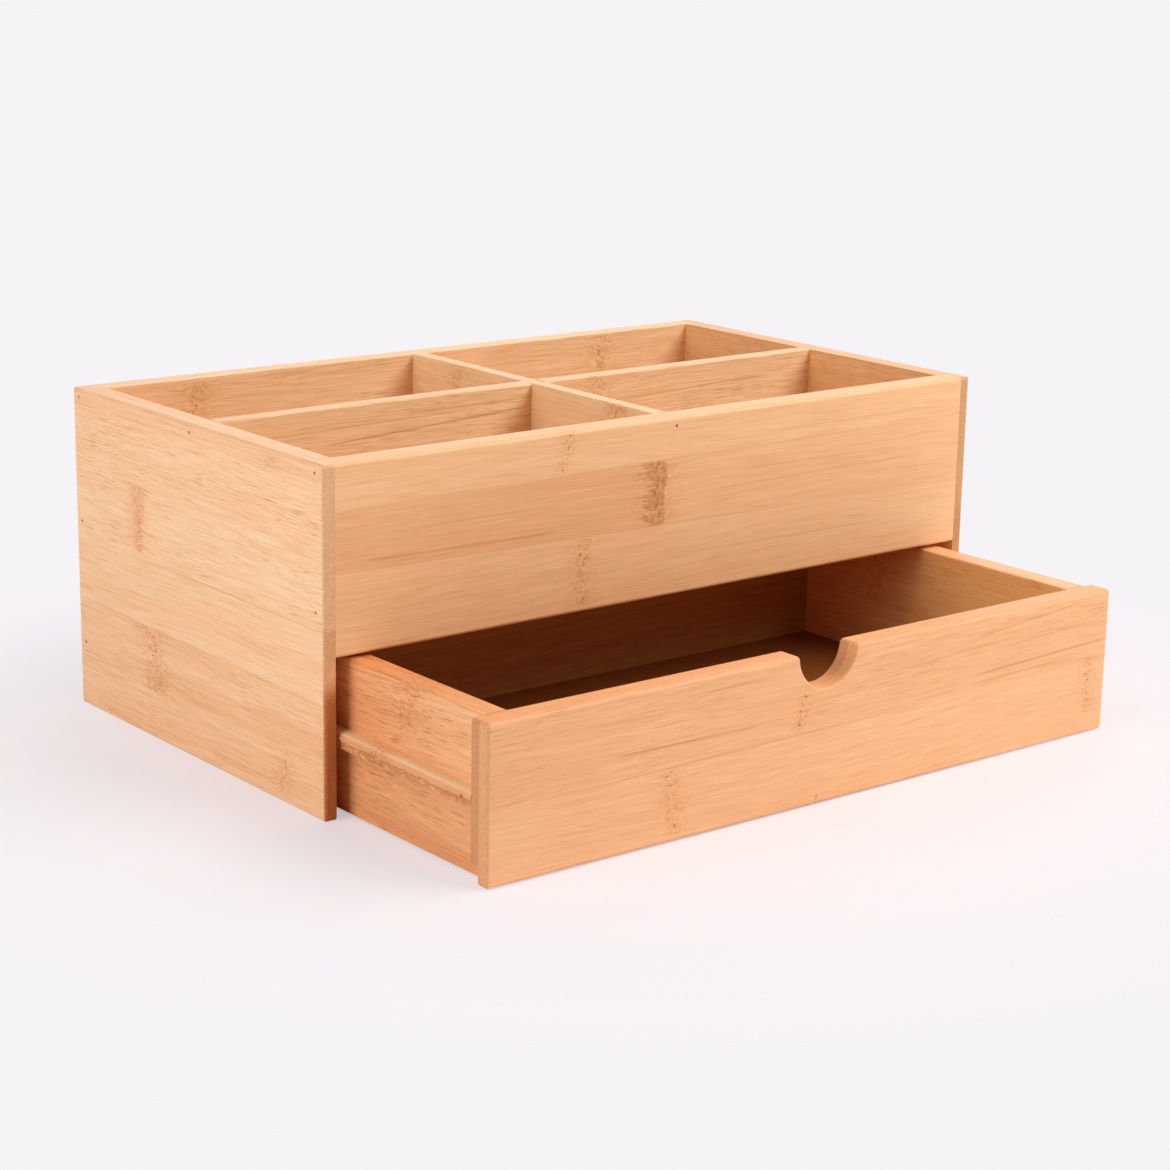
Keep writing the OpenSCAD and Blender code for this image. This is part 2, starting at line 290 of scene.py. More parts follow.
class Knuckle:
    """Where the culm's ring crosses a strip: dark specks, crinkled fibres and a halo around them."""

    def __init__(self, place, low, high, slope=0.0, width=2.0, specks=0.5, crinkle=0.3, halo=0.08,
                 band=0.0, inner=False):
        self.place, self.low, self.high, self.slope, self.width = place, low, high, slope, width
        self.specks, self.crinkle, self.halo, self.band, self.inner = specks, crinkle, halo, band, inner


class Board:
    """How one board's bamboo lies: its axes, its outer face, its strips, seams and knuckles."""

    def __init__(self, along, across, depth, face, inward, strips, seams=(), knuckles=(), base=PALE_BASE,
                 ply=5.0, seed=0.0, grain=1.0, inner_shift=9.0, top=0.0, top_base=None, lean=(-400, 400),
                 bay=None, rear_end=0.0, torn=False, streaks=()):
        self.along, self.across, self.depth = along, across, depth
        self.face, self.inward = face, inward
        self.strips, self.seams, self.knuckles = strips, seams, knuckles
        self.base, self.ply, self.seed, self.grain = base, ply, seed, grain
        self.inner_shift = inner_shift
        # Painted light and shade on upward faces: the tone added on them and their own base colour; and the
        # stretch over which strips lean
        self.top, self.top_base, self.lean = top, top_base or base, lean
        # The height below which the inner face is in the drawer's bay and gets painted shade, the rear ply's
        # end, a torn face
        self.bay, self.rear_end, self.torn = bay, rear_end, torn
        self.streaks = streaks


def grain_noise(tree, point, seed, waves, detail, roughness=0.5):
    """Noise drawn out along the fibres at a point given along, across and deep into the board."""
    along, across, deep = point
    return noise(tree, (along * waves[0] + seed, across * waves[1], deep * waves[1]), detail, roughness)


def strip_values(u, v, board):
    """The values of the strip that a point lies in, and the seams' stain."""
    values = [v * 0 + number for number in board.strips[0].values]
    line = v * 0
    for seam, before, after in zip(board.seams, board.strips, board.strips[1:]):
        distance = v - (u * seam.slope + seam.place)
        passed = distance.rise(-seam.soft, seam.soft)
        ends_passed = distance.rise(0, 2 * seam.end_soft)
        shares = (passed, passed, passed, ends_passed, passed)
        values = [value + share * (new - old)
                  for value, share, old, new in zip(values, shares, before.values, after.values)]
        fade = u.window(seam.start, seam.stop, SEAM_FADE)
        line = line.larger(distance.bell(0, SEAM_WIDTH) * fade * seam.dark)
    return values, line


def streak_stain(u, v, front, board):
    """The stain of the board's single dark fibre lines."""
    stain = v * 0
    for streak in board.streaks:
        slope = (streak.high - streak.low) / (streak.stop - streak.start)
        distance = v - (u - streak.start) * slope - streak.low
        fade = u.window(streak.start, streak.stop, STREAK_FADE) * front
        stain = stain.larger(distance.bell(0, streak.width) * fade * streak.dark)
    return stain


def knuckle_signals(tree, u, v, rear, board):
    """How strongly a point belongs to a knuckle's specks, its crinkled fibres, its halo and its band."""
    specks = crinkle = halo = band = v * 0
    sway = noise(tree, (v * 0.17 + board.seed, board.seed, 0.5), 2.0) - 0.5
    for knuckle in board.knuckles:
        distance = u - (v - knuckle.low) * knuckle.slope - knuckle.place + sway * KNUCKLE_SWAY
        ply = rear if knuckle.inner else 1 - rear
        reach = v.window(knuckle.low, knuckle.high, KNUCKLE_EDGE) * ply
        specks = specks.larger(distance.bell(0, knuckle.width) * reach * knuckle.specks)
        crinkle = crinkle.larger(distance.bell(0, knuckle.width * CRINKLE_SPREAD) * reach * knuckle.crinkle)
        halo = halo.larger(distance.bell(0, knuckle.width * HALO_SPREAD) * reach * knuckle.halo)
        if knuckle.band:
            teeth = noise(tree, (u * 0.03, v * 0.9 + board.seed, 0.5), 1.0) - 0.5
            brown = (distance + teeth * BAND_TEETH).rise(*BAND_START)
            brown = brown * (1 - distance.rise(*BAND_STOP)) * reach
            band = band.larger(brown * knuckle.band)
    return specks, crinkle, halo, band


class Point:
    """The point of a board that its material is worked out for: its place, and what its face is."""

    def __init__(self, tree, board):
        axis = coordinates(tree, scale=1 / MM)
        normal = coordinates(tree, "Normal")
        self.height = axis["Z"]
        self.along, self.across = axis[board.along], axis[board.across]
        self.deep = (axis[board.depth] - board.face) * board.inward
        self.end = normal[board.along].size().rise(*FACING)
        self.up = normal["Z"].rise(*FACING)
        self.rear = self.deep.above(board.ply)


def fibre_signals(tree, point, seed, crinkle, dash_share):
    """Where fibres lie that wander and curl at the knuckles, and their bands, fibres and dashes."""
    u, v, w = point.along, point.across, point.deep
    wander = noise(tree, (u * 0.005 + seed, v * 0.011, w * 0.02), 1.0) - 0.5
    curl = noise(tree, (u * 0.17, v * 0.20 + seed, w * 0.2), 1.0) - 0.5
    across = v + wander * WANDER + curl * crinkle * CURL_REACH
    broad = grain_noise(tree, (u, across, w), seed, BROAD_WAVES, 2.0, 0.55) - 0.5
    medium = grain_noise(tree, (u, across, w), seed, MEDIUM_WAVES, 2.0, 0.6) - 0.5
    fine = grain_noise(tree, (u, across, w), seed, FINE_WAVES, 1.0, 0.6) - 0.5
    patches = grain_noise(tree, (u, v, w), seed, PATCH_WAVES, 2.0).rise(0.36, 0.62)
    bend = grain_noise(tree, (u, v, w), seed, BEND_WAVES, 1.0) * DASH_BEND
    dashes = grain_noise(tree, (u, across + bend, w), seed, DASH_WAVES, 1.5)
    dashes = dashes.rise(0.53, 0.72) * (patches * 0.8 + 0.2) * dash_share
    return across, broad, medium, fine, dashes


def knuckle_marks(tree, point, seed, across, specks, crinkle, band):
    """Round specks, thin curled lines where a noise crosses its middle, and the band's mottle."""
    u, v, w = point.along, point.across, point.deep
    dots = noise(tree, (u * 0.62, v * 0.55 + seed, w * 0.55), 1.5, 0.6).rise(0.54, 0.68) * specks
    curls = noise(tree, (u * 0.22 + seed, across * 0.60, w * 0.60), 2.0, 0.55) - 0.5
    curls = (0.75 - curls.size().rise(0.0, 0.075)) * crinkle
    mottle = noise(tree, (u * 0.45, v * 0.45 + seed, w), 2.0, 0.6).rise(0.35, 0.65) * band
    return dots, curls, mottle


def board_colour(tree, board, point, face, end):
    """The board's colour, from the tone and stain of its face and those of its end grain."""
    colour = tree.nodes.new("ShaderNodeCombineColor")
    rates = zip(board.base, board.top_base, TONE_RATES, STAIN_RATES, END_RATES)
    for place, (base, top_base, tone_rate, stain_rate, end_rate) in enumerate(rates):
        face_fall = face[0] * tone_rate + face[1] * stain_rate
        end_fall = end[0] * tone_rate + end[1] * stain_rate + end_rate
        fall = face_fall + (end_fall - face_fall) * point.end
        bright = (fall * -1).exponent() * (point.up * (top_base - base) + base)
        plug(tree, bright.smaller(BRIGHTEST), colour.inputs[place])
    return colour.outputs[0]


def bamboo(name, board):
    """A board of glued bamboo strips in two plies, with fibres, knuckles, seams and end grain."""
    material, tree = new_material(name)
    point = Point(tree, board)
    u, v, w, end, rear = point.along, point.across, point.deep, point.end, point.rear
    (tone, dash_share, broad_share, end_tone, lean), seams = strip_values(
        u, v + rear * board.inner_shift, board)
    specks, crinkle, halo, band = knuckle_signals(tree, u, v, rear, board)
    glue = w.bell(board.ply, GLUE_WIDTH) * GLUE_STAIN
    seed = tone * 31 + rear * 7 + board.seed
    across, broad, medium, fine, dashes = fibre_signals(tree, point, seed, crinkle, dash_share)
    dots, curls, mottle = knuckle_marks(tree, point, seed, across, specks, crinkle, band)

    lean = lean * (1 - u.rise(*board.lean))
    # point.up * board.top is painted light and shade on upward faces
    tone = tone + lean + halo + broad * broad_share * board.grain * BROAD_TONE + point.up * board.top
    # Painted shade on the inner ply's faces inside the drawer's bay, below the bay's height
    if board.bay:
        tone = tone + rear * (1 - end) * (1 - point.height.rise(board.bay - 1, board.bay)) * BAY_PAINTED_SHADE
    stain = (medium * MEDIUM_STAIN + fine * FINE_STAIN + dashes * DASH_STAIN) * board.grain + seams + glue
    stain = stain + dots * SPECK_STAIN + curls * CURL_STAIN + band * BAND_STAIN + mottle * MOTTLE_STAIN
    stain = stain + streak_stain(u, v, 1 - rear, board)
    # Painted shade along the runners' torn step, below the torn edge's top
    if board.torn:
        stain = stain + w.window(*TORN_SHADE_DEPTHS) * (1 - point.height.above(TORN_TOP)) * TORN_STEP_SHADE

    # End grain: dark bundles cut across, in short rows
    bundles = noise(tree, (u * 0.4, v * 1.6 + seed, w * 1.1), 2.0, 0.7) - 0.5
    end_stain = bundles * BUNDLE_STAIN + seams * 0.5 + glue * 0.5 + rear * board.rear_end

    shader = principled(tree)
    colour = board_colour(tree, board, point, (tone, stain), (end_tone, end_stain))
    tree.links.new(colour, shader.inputs["Base Color"])
    plug(tree, stain.clamp() * 0.4 + end * 0.15 + 0.48, shader.inputs["Roughness"])
    shader.inputs["Specular IOR Level"].default_value = 0.35

    # Relief: fibres, dashes sunk a little, seams and rough ends
    relief = (medium + fine) * FIBRE_RISE - dashes * DASH_DEPTH - dots * SPECK_DEPTH - curls * CURL_DEPTH
    relief = relief * (1 - end) + bundles * end * END_RISE - (seams + glue) * SEAM_DEPTH
    bump = tree.nodes.new("ShaderNodeBump")
    bump.inputs["Distance"].default_value = 1.0
    plug(tree, relief * MM, bump.inputs["Height"])
    tree.links.new(bump.outputs[0], shader.inputs["Normal"])
    return material


# The lower strips' end grain is darker, most of all in the two lowest: partly the strips' own tone, partly
# painted shade of the drawer beside the lip
SIDE_STRIPS = (Strip(0.12, 0.6, 1.3, 1.0), Strip(0.12, 0.6, 1.5, 0.97, 0.03), Strip(0.05, 0.3, 1.0, 0.22),
               Strip(0.0, 0.9, 0.7, 0.03), Strip(0.05, 1.1, 0.7, 0.03), Strip(0.09, 0.6, 0.7, 0.06, 0.05))
SIDE_SEAMS = (Seam(16.0, 0.005, 0.04), Seam(43.5, 0.012, 0.08, -60, 130),
              Seam(70.3, 0.004, 0.18, -45, 72, end_soft=0.2), Seam(98.0, 0.0, 0.0, soft=14),
              Seam(123.5, 0.0, 0.04))
RIGHT_SEAMS = (Seam(18.0, 0.0, 0.08), Seam(45.0, 0.0, 0.1), Seam(69.0, 0.0, 0.15, -30, 110),
               Seam(96.0, 0.0, 0.0, soft=14), Seam(119.5, 0.0, 0.08))

BOARDS = {
    "left_side_panel": Board(
        "Y", "Z", "X", -160, 1, SIDE_STRIPS, SIDE_SEAMS,
        (Knuckle(83.3, 73, 99, 0.06, 2.2, 0.7, 0.6, 0.24),
         Knuckle(72.0, 19, 44, 0.14, 3.4, 0.7, 0.9, 0.12),
         Knuckle(-16.4, 3, 17, -0.27, 2.4, 0.7, 0.7, 0.10),
         Knuckle(-12.8, 123, 127.5, 0.0, 2.2, 0.5, 0.5, 0.08)), seed=3.1, lean=(-46, 30), bay=60,
        grain=1.35),
    "right_side_panel": Board(
        "Y", "Z", "X", 160, -1, SIDE_STRIPS, RIGHT_SEAMS,
        (Knuckle(31, 70, 119, 0.04, 2.4, 0.7, 0.6, 0.10),
         Knuckle(98, 19, 44, -0.08, 2.6, 0.7, 0.8, 0.10)), base=RIGHT_BASE, seed=5.7, inner_shift=-10,
        bay=60),
    "upper_front_panel": Board(
        "X", "Z", "Y", -46, 1,
        (Strip(0.0, 0.35, 0.8, lean=0.05), Strip(0.07, 0.3, 0.9, lean=0.12), Strip(0.02, 0.4, 0.6)),
        (Seam(88.6, -0.012, 0.08, -170, 40, 0.8), Seam(113.8, 0.006, 0.06, -130, 150, 1.3)),
        (Knuckle(-54.8, 114.5, 130, 0.22, 1.8, 0.85, 0.4, 0.08),
         Knuckle(-9.0, 89.0, 113.5, 0.02, 2.6, 0.8, 0.8, 0.06, band=0.9),
         Knuckle(-45.6, 62, 88.5, 0.04, 2.4, 0.85, 0.6, 0.09)), base=UPPER_FRONT_BASE, seed=7.3,
        top=0.12, lean=(-14, 10),
        streaks=(Streak(36, 105.6, 92, 105.2, 0.14), Streak(20, 99.5, 128, 100.4, 0.12),
                 Streak(60, 119, 140, 119.6, 0.10), Streak(-140, 93.6, -60, 92.6, 0.16, 0.5),
                 Streak(-120, 103.2, -70, 102.6, 0.12), Streak(10, 76.0, 110, 75.2, 0.10))),
    "back_panel": Board(
        "X", "Z", "Y", 134, -1,
        (Strip(0.06, 0.6, 0.9), Strip(0.0, 0.5, 0.8), Strip(0.08, 0.5, 0.8), Strip(0.02, 0.7, 0.9),
         Strip(0.05, 0.6, 1.0)),
        (Seam(21, 0.004, 0.10), Seam(48, -0.003, 0.08), Seam(75, 0.0, 0.2, -120, 60),
         Seam(103, 0.003, 0.10)),
        (Knuckle(-80, 49, 74, 0.08, 2.6, 0.8, 0.8, 0.1), Knuckle(70, 22, 47, -0.05, 2.4, 0.8, 0.6, 0.1),
         Knuckle(106, 104, 130, 0.05, 2.4, 0.8, 0.6, 0.1),
         Knuckle(-111, 100, 128, 0.06, 2.8, 0.7, 0.8, 0.08, inner=True),
         Knuckle(97, 100, 129, 0.16, 2.6, 0.6, 0.8, 0.08, inner=True)), base=BACK_BASE, seed=11.9,
        grain=1.5, top=-0.05, bay=60),
    "compartment_floor": Board(
        "X", "Y", "Z", 69, -1,
        (Strip(0.04, 0.6, 0.8), Strip(0.0, 0.5, 0.7), Strip(0.07, 0.6, 0.8), Strip(0.02, 0.5, 0.7),
         Strip(0.05, 0.5, 0.8), Strip(0.0, 0.5, 0.7)),
        (Seam(-18, 0.002, 0.14), Seam(10, 0.0, 0.10), Seam(39, -0.002, 0.16), Seam(68, 0.0, 0.10),
         Seam(96, 0.003, 0.14)),
        (Knuckle(-40, 11, 38, 0.05, 2.4, 0.7, 0.7, 0.1), Knuckle(88, -17, 9, 0.02, 2.4, 0.7, 0.7, 0.1)),
        ply=2.5, seed=13.3, bay=80),
    "lengthwise_divider": Board(
        "X", "Z", "Y", 40.5, 1, (Strip(0.05, 0.6, 0.8, 0.3), Strip(0.02, 0.9, 0.7, 0.3)),
        (Seam(98.5, 0.0, 0.12),),
        (Knuckle(29.6, 99, 130, 0.05, 2.6, 0.8, 0.7, 0.10), Knuckle(-86, 70, 98, 0.0, 2.4, 0.6, 0.6, 0.1)),
        base=DIVIDER_BASE, ply=3.5, seed=17.1, grain=1.5, top=0.12,
        streaks=(Streak(-100, 115.6, -9, 120.5, 0.3, 0.4), Streak(-60, 124.0, 10, 124.6, 0.22),
                 Streak(30, 118.5, 120, 121.0, 0.2), Streak(-130, 121, -40, 122.5, 0.2))),
    "crosswise_divider": Board(
        "Y", "Z", "X", -3.5, 1, (Strip(0.05, 0.5, 0.8, 0.3), Strip(0.03, 0.7, 0.8, 0.3)),
        (Seam(95.0, 0.0, 0.10),),
        (Knuckle(-15.0, 96, 130, 0.04, 3.0, 0.9, 0.9, 0.12), Knuckle(92, 96, 130, 0.0, 2.6, 0.6, 0.6, 0.1)),
        base=DIVIDER_BASE, ply=3.5, seed=19.5, top=0.07),
    "drawer_front": Board(
        "X", "Z", "Y", -134, 1, (Strip(-0.02, 0.4, 0.8, 0.04, 0.05), Strip(0.05, 0.7, 0.9, 0.04, 0.05)),
        (Seam(29.0, 0.012, 0.15, -110, 20),),
        (Knuckle(-71.2, 3, 27, -0.18, 2.0, 0.85, 0.6, 0.08),
         Knuckle(-14.4, 31, 44, 0.28, 1.8, 1.0, 0.5, 0.07),
         Knuckle(143, 9, 32, -0.04, 2.2, 0.75, 0.6, 0.06),
         Knuckle(-3.1, 1, 4, 0.0, 1.4, 0.6, 0.3, 0.05)), base=DRAWER_FRONT_BASE, seed=23.3,
        top=0.22, lean=(-100, 100), rear_end=0.18,
        streaks=(Streak(80, 35.8, 153, 38.4, 0.25, 0.35), Streak(80, 32.5, 122, 33.6, 0.20),
                 Streak(79, 50.8, 136, 55.5, 0.20), Streak(-97, 36.6, -35, 35.9, 0.22, 0.45),
                 Streak(20, 44.0, 90, 47.2, 0.12), Streak(95, 44.5, 150, 47.0, 0.14),
                 Streak(-60, 52.5, -30, 53.0, 0.2, 0.4), Streak(-10, 40.2, 60, 42.0, 0.10))),
    # Painted light and shade: the strips' negative lean makes the drawer's left side lighter toward its
    # front, out of the case, and darker toward the rear, in the case's shade
    "drawer_left_side": Board(
        "Y", "Z", "X", -148.5, 1, (Strip(0.06, 1.3, 0.9, 0.3, -0.13), Strip(0.07, 1.3, 0.9, 0.3, -0.22)),
        (Seam(29.5, 0.0, 0.1),), (Knuckle(-79.5, 40, 58.5, -0.24, 3.6, 0.5, 0.62, 0.06),),
        base=DRAWER_SIDE_BASE, ply=20, seed=29.7, grain=1.6, top=0.18, lean=(-125, -50)),
    "drawer_right_side": Board(
        "Y", "Z", "X", 148.5, -1, (Strip(0.05, 0.8, 1.2, 0.3), Strip(0.0, 0.8, 1.2, 0.3)),
        (Seam(31.0, 0.0, 0.12),), (Knuckle(-20, 32, 58.5, 0.05, 2.8, 0.6, 0.8, 0.08),),
        base=DRAWER_RIGHT_BASE, top_base=DRAWER_RIGHT_PAINTED_TOP, ply=20, seed=31.3, grain=1.3),
    "drawer_back": Board(
        "X", "Z", "Y", 34, -1, (Strip(0.08, 0.8, 1.2, 0.3), Strip(0.0, 0.8, 1.2, 0.3)),
        (Seam(32.0, 0.0, 0.15),), (Knuckle(6, 33, 58.5, 0.05, 2.8, 0.7, 0.8, 0.08),),
        base=DRAWER_BACK_PAINTED_SHADE, ply=20, seed=37.9, grain=1.4),
    "drawer_bottom": Board(
        "Y", "X", "Z", 7.5, -1,
        (Strip(0.05, 0.7, 1.0), Strip(0.0, 0.7, 1.0), Strip(0.08, 0.6, 1.0), Strip(0.02, 0.7, 1.0),
         Strip(0.06, 0.7, 1.0), Strip(0.0, 0.7, 1.0)),
        (Seam(-98, 0.0, 0.15), Seam(-49, 0.002, 0.12), Seam(1, 0.0, 0.15), Seam(50, -0.002, 0.12),
         Seam(99, 0.0, 0.15)), (), base=DRAWER_SIDE_BASE, top_base=DRAWER_FLOOR_PAINTED_SHADE, ply=20, seed=41.3,
        grain=1.4),
    # The runners' top=-0.25 and their own top colour are painted light on their tops
    "left_runner": Board(
        "Y", "Z", "X", -153.5, 1, (Strip(0.04, 0.8, 1.0, 0.2),), (),
        (Knuckle(-66, 24, 34, -0.3, 3.4, 0.6, 0.7, 0.12),), base=RUNNER_BASE, top_base=RUNNER_TOP_PAINTED_LIGHT,
        ply=20, seed=43.7, grain=1.2, top=-0.25, torn=True),
    "right_runner": Board(
        "Y", "Z", "X", 153.5, -1, (Strip(0.04, 0.8, 1.0, 0.2),), (),
        (Knuckle(-30, 24, 34, 0.2, 3.0, 0.6, 0.7, 0.12),), base=RUNNER_BASE, top_base=RUNNER_TOP_PAINTED_LIGHT,
        ply=20, seed=47.1, grain=1.2, top=-0.25, torn=True),
}

PIN_COLOURS = (srgb(190, 150, 114), srgb(160, 122, 90))
DOWEL_COLOURS = (srgb(232, 205, 170), srgb(196, 160, 120))


def steel():
    """Dull brownish pin nail wire."""
    material, tree = new_material("pin_steel")
    place = coordinates(tree, scale=2.5 / MM)
    clouds = noise(tree, (place["X"], place["Y"], place["Z"]))
    shader = principled(tree)
    tree.links.new(mix(tree, clouds, *PIN_COLOURS), shader.inputs["Base Color"])
    plug(tree, clouds * 0.3 + 0.4, shader.inputs["Roughness"])
    shader.inputs["Metallic"].default_value = 0.3
    return material


def dowel_wood():
    """Pale close-grained wood, with fibres along Y."""
    material, tree = new_material("dowel_wood")
    place = coordinates(tree, scale=1 / MM)
    fibres = noise(tree, (place["X"] * 1.5, place["Y"] * 0.1, place["Z"] * 1.5))
    shader = principled(tree)
    tree.links.new(mix(tree, fibres, *DOWEL_COLOURS), shader.inputs["Base Color"])
    plug(tree, fibres * 0.2 + 0.5, shader.inputs["Roughness"])
    return material


def dress(piece, material):
    piece.data.materials.clear()
    piece.data.materials.append(material)


def dress_cad_nodes():
    """Gives every CAD node its material and returns the boards' materials by node."""
    woods = {name: bamboo(name, board) for name, board in BOARDS.items()}
    wire = steel()
    dowel = dowel_wood()
    for name in NODES:
        if name in woods:
            dress(NODES[name], woods[name])
        else:
            dress(NODES[name], wire if name.endswith("_pins") else dowel)
    return woods


# Pieces with finer shapes than the CAD's: the drawer front and the two runners

def solid_object(name, points, faces):
    """An object with a closed mesh, from points in millimetres."""
    mesh = bpy.data.meshes.new(name)
    mesh.from_pydata([tuple(value * MM for value in point) for point in points], [], faces)
    mesh.validate()
    shape = bmesh.new()
    shape.from_mesh(mesh)
    bmesh.ops.recalc_face_normals(shape, faces=shape.faces)
    shape.to_mesh(mesh)
    shape.free()
    piece = bpy.data.objects.new(name, mesh)
    bpy.context.scene.collection.objects.link(piece)
    return piece


def ring_faces(rings, count):
    """The faces between rings of points, each ring with the same count of them."""
    faces = []
    for start in range(0, (rings - 1) * count, count):
        for place in range(count):
            after = (place + 1) % count
            faces.append((start + place, start + after, start + count + after, start + count + place))
    return faces


def box_points(low, high):
    points = [(x, y, z) for x in (low[0], high[0]) for y in (low[1], high[1]) for z in (low[2], high[2])]
    faces = [(0, 1, 3, 2), (4, 6, 7, 5), (0, 4, 5, 1), (2, 3, 7, 6), (0, 2, 6, 4), (1, 5, 7, 3)]
    return points, faces


def rod_points(start, length, radius, sides=16):
    """A round rod along X."""
    points, faces = [], []
    for end in (start[0], start[0] + length):
        for side in range(sides):
            angle = math.tau * side / sides
            points.append((end, start[1] + radius * math.cos(angle), start[2] + radius * math.sin(angle)))
    for side in range(sides):
        after = (side + 1) % sides
        faces.append((side, after, sides + after, sides + side))
    faces.append(tuple(range(sides)))
    faces.append(tuple(reversed(range(sides, 2 * sides))))
    return points, faces


def cut(piece, shapes):
    """Takes the shapes, given as points and faces, out of the piece."""
    cutters = []
    for number, (points, faces) in enumerate(shapes):
        cutter = solid_object(f"cutter_{number}", points, faces)
        modifier = piece.modifiers.new(cutter.name, "BOOLEAN")
        modifier.operation = "DIFFERENCE"
        modifier.solver = "EXACT"
        modifier.object = cutter
        cutters.append(cutter)
    graph = bpy.context.evaluated_depsgraph_get()
    mesh = bpy.data.meshes.new_from_object(piece.evaluated_get(graph))
    piece.modifiers.clear()
    piece.data = mesh
    for cutter in cutters:
        bpy.data.objects.remove(cutter)


def take_place(piece, node, material):
    """Puts a finer piece in the place of a CAD node of the drawer."""
    dress(piece, material)
    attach(piece, "drawer")
    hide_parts(node)


def node_box(name):
    """A CAD node's box in millimetres."""
    low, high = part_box(name)
    return [value / MM for value in low], [value / MM for value in high]


# How far a cutter reaches past the piece that it cuts
CUT_PAST = 5
NOTCH_RADIUS = 14.2
NOTCH_EASE = 0.9
NOTCH_CORNER = 1.7
FRONT_EASE = 1.5
REAR_EASE_SHARE = 0.35
FRONT_CORNER = 1.6
FRONT_PLY = 5.0
REBATE_TOP = 7.7
ARC_STEPS = 8
NOTCH_STEPS = 48
EASE_STEPS = 6


def arc(centre, radius, start, stop, steps, ease_start, ease_stop, hollow=False):
    """Outline points as (x, z, normal x, normal z, ease) round a centre, angles in degrees."""
    points = []
    for step in range(steps + 1):
        share = step / steps
        angle = math.radians(start + (stop - start) * share)
        across, up = math.cos(angle), math.sin(angle)
        turn = -1 if hollow else 1
        points.append((centre[0] + radius * across, centre[1] + radius * up, turn * across, turn * up,
                       ease_start + (ease_stop - ease_start) * share))
    return points


def front_outline(low, high):
    """The drawer front's outline seen from the front, anticlockwise from its lower left corner."""
    left, right, bottom, top = low[0], high[0], low[2], high[2]
    corner, ease = FRONT_CORNER, FRONT_EASE
    far = math.sqrt((NOTCH_RADIUS + NOTCH_CORNER) ** 2 - NOTCH_CORNER ** 2)
    dip = math.degrees(math.asin(NOTCH_CORNER / (NOTCH_RADIUS + NOTCH_CORNER)))
    shoulder = top - NOTCH_CORNER
    return (
        arc((left + corner, bottom + corner), corner, 180, 270, ARC_STEPS, ease, ease)
        + arc((right - corner, bottom + corner), corner, 270, 360, ARC_STEPS, ease, ease)
        + arc((right - corner, top - corner), corner, 0, 90, ARC_STEPS, ease, ease)
        + arc((far, shoulder), NOTCH_CORNER, 90, 180 - dip, ARC_STEPS, ease, NOTCH_EASE)
        + arc((0, top), NOTCH_RADIUS, -dip, dip - 180, NOTCH_STEPS, NOTCH_EASE, NOTCH_EASE, True)[1:-1]
        + arc((-far, shoulder), NOTCH_CORNER, dip, 90, ARC_STEPS, NOTCH_EASE, ease)
        + arc((left + corner, top - corner), corner, 90, 180, ARC_STEPS, ease, ease))


def fine_drawer_front():
    """The drawer front with a truly round notch and every edge eased, the notch's too."""
    low, high = node_box("drawer_front")
    outline = front_outline(low, high)
    rings = []
    for face, inward, share in ((low[1], 1, 1), (high[1], -1, REAR_EASE_SHARE)):
        side = []
        for step in range(EASE_STEPS + 1):
            angle = math.pi / 2 * step / EASE_STEPS
            back = share * (1 - math.sin(angle))
            deep = inward * share * (1 - math.cos(angle))
            side.append([(x - nx * ease * back, face + ease * deep, z - nz * ease * back)
                         for x, z, nx, nz, ease in outline])
        rings += side if inward > 0 else reversed(side)
    count = len(outline)
    points = [point for ring in rings for point in ring]
    faces = [tuple(range(count)), tuple(reversed(range(len(points) - count, len(points))))]
    front = solid_object("drawer_front_eased", points, faces + ring_faces(len(rings), count))
    rebate = box_points((low[0] - CUT_PAST, low[1] + FRONT_PLY, low[2] - CUT_PAST),
                        (high[0] + CUT_PAST, high[1] + CUT_PAST, REBATE_TOP))
    cut(front, [rebate])
    take_place(front, "drawer_front", WOODS["drawer_front"])


RUNNER_STATIONS = 380
RUNNER_LEVELS = 20
RUNNER_EASE = 0.5
RUNNER_TOP_EASE = 2.2
TEAR_LEVEL = 2.9
TEAR_STEP = 0.6
TEAR_DEPTH = 0.85
PIN_RADIUS = 0.8
# How deep the pin holes are, how far their cutter stands out, and where they are along the runner
PIN_HOLE_DEPTH = 1.2
PIN_HOLE_PAST = 1
PIN_SHARES = (0.0315, 0.5, 0.905)


def tear(along, level, seed):
    """How far the runner's face is torn away at a height above its underside, in millimetres."""
    edge = TEAR_LEVEL + 0.9 * land.noise((along * 0.07, seed, 0)) + 0.5 * land.noise((along * 0.31, seed, 3))
    share = min(max((edge - level) / TEAR_STEP, 0), 1)
    rough = 0.75 + 0.5 * land.noise((along * 0.33, level * 0.9, seed)) + 0.25 * land.noise(
        (along * 1.1, level * 2.1, seed))
    return share * min(max(rough, 0.6), 1.2) * TEAR_DEPTH


